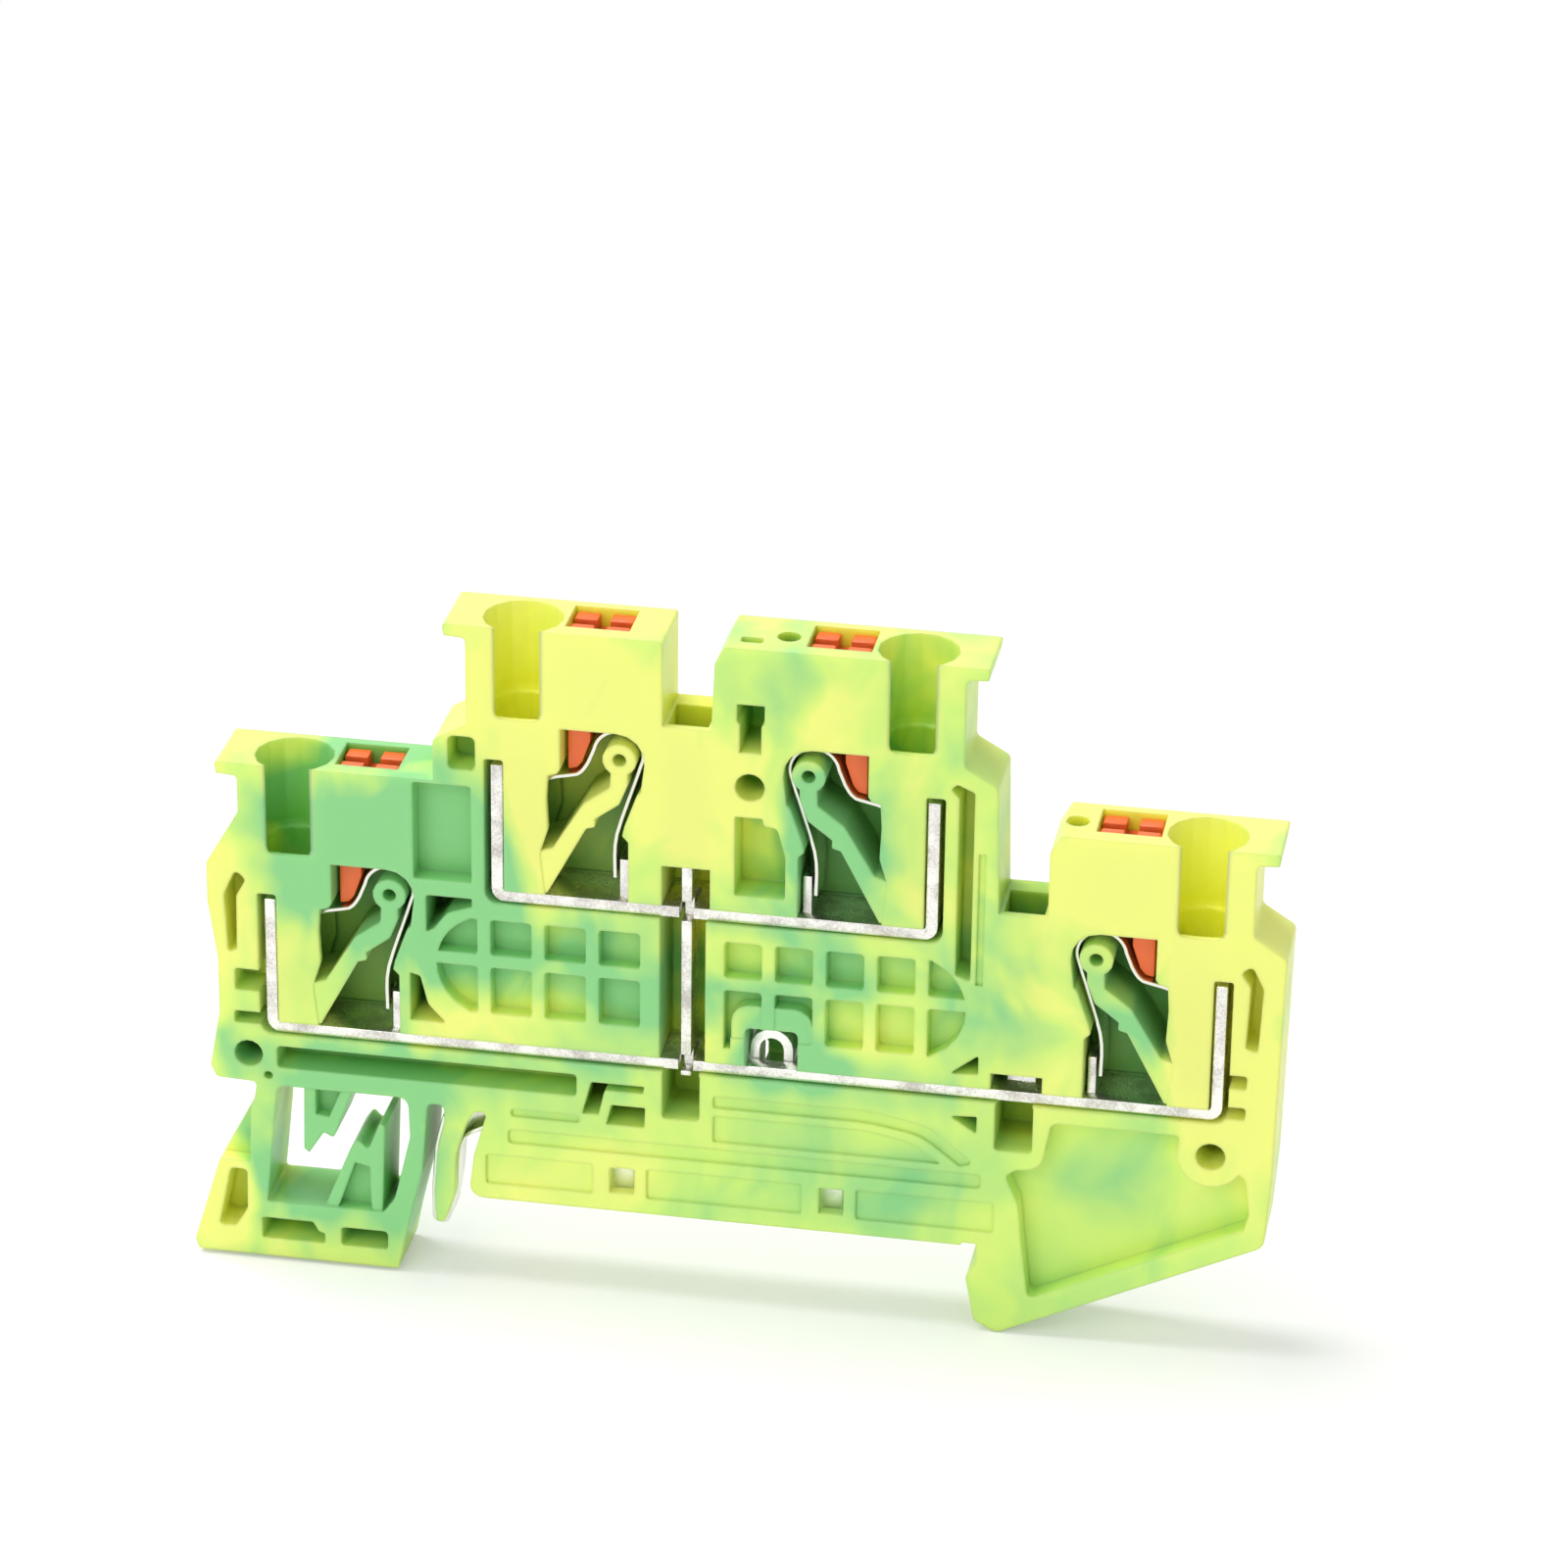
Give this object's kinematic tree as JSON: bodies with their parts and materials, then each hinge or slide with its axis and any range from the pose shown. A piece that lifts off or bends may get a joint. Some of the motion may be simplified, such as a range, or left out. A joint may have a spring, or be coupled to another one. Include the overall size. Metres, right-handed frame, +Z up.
{
  "type": "double level terminal block",
  "caption": "Slim two-level rail terminal block with push-in spring clamps, push buttons, current bars and an earth foot, open on one side.",
  "frame": {"origin": "middle of the rail seat: where the foot's underside meets the middle of the rail, at half the block's thickness", "axes": "+X along the block, across the rail, toward the fixed hook; +Y along the rail, from the open side to the closed side; +Z up, away from the rail"},
  "size_m": [0.0718, 0.0052, 0.0473],
  "materials": {
    "housing_plastic": "satin moulded polyamide, yellow and green run together",
    "button_plastic": "satin moulded plastic, orange-red",
    "tinned_metal": "bright tin plate on copper",
    "spring_steel": "bright rolled spring strip"
  },
  "bodies": {
    "root": {"housing": "housing_plastic", "lower_bar": "tinned_metal", "upper_bar": "tinned_metal", "level_link": "tinned_metal", "earth_strap": "tinned_metal", "rail_clip": "spring_steel", "clamp_spring_lower_left": "spring_steel", "clamp_spring_upper_left": "spring_steel", "clamp_spring_upper_right": "spring_steel", "clamp_spring_lower_right": "spring_steel"},
    "button_lower_left": {"push_button_lower_left": "button_plastic"},
    "button_upper_left": {"push_button_upper_left": "button_plastic"},
    "button_upper_right": {"push_button_upper_right": "button_plastic"},
    "button_lower_right": {"push_button_lower_right": "button_plastic"}
  },
  "joints": [
    {"name": "press_lower_left", "type": "slide", "parent": "root", "child": "button_lower_left", "axis": [0, 0, -1], "range_m": [0, 0.0018], "stiffness_N_per_m": 300, "deforming": ["clamp_spring_lower_left"]},
    {"name": "press_upper_left", "type": "slide", "parent": "root", "child": "button_upper_left", "axis": [0, 0, -1], "range_m": [0, 0.0018], "stiffness_N_per_m": 300, "deforming": ["clamp_spring_upper_left"]},
    {"name": "press_upper_right", "type": "slide", "parent": "root", "child": "button_upper_right", "axis": [0, 0, -1], "range_m": [0, 0.0018], "stiffness_N_per_m": 300, "deforming": ["clamp_spring_upper_right"]},
    {"name": "press_lower_right", "type": "slide", "parent": "root", "child": "button_lower_right", "axis": [0, 0, -1], "range_m": [0, 0.0018], "stiffness_N_per_m": 300, "deforming": ["clamp_spring_lower_right"]}
  ]
}
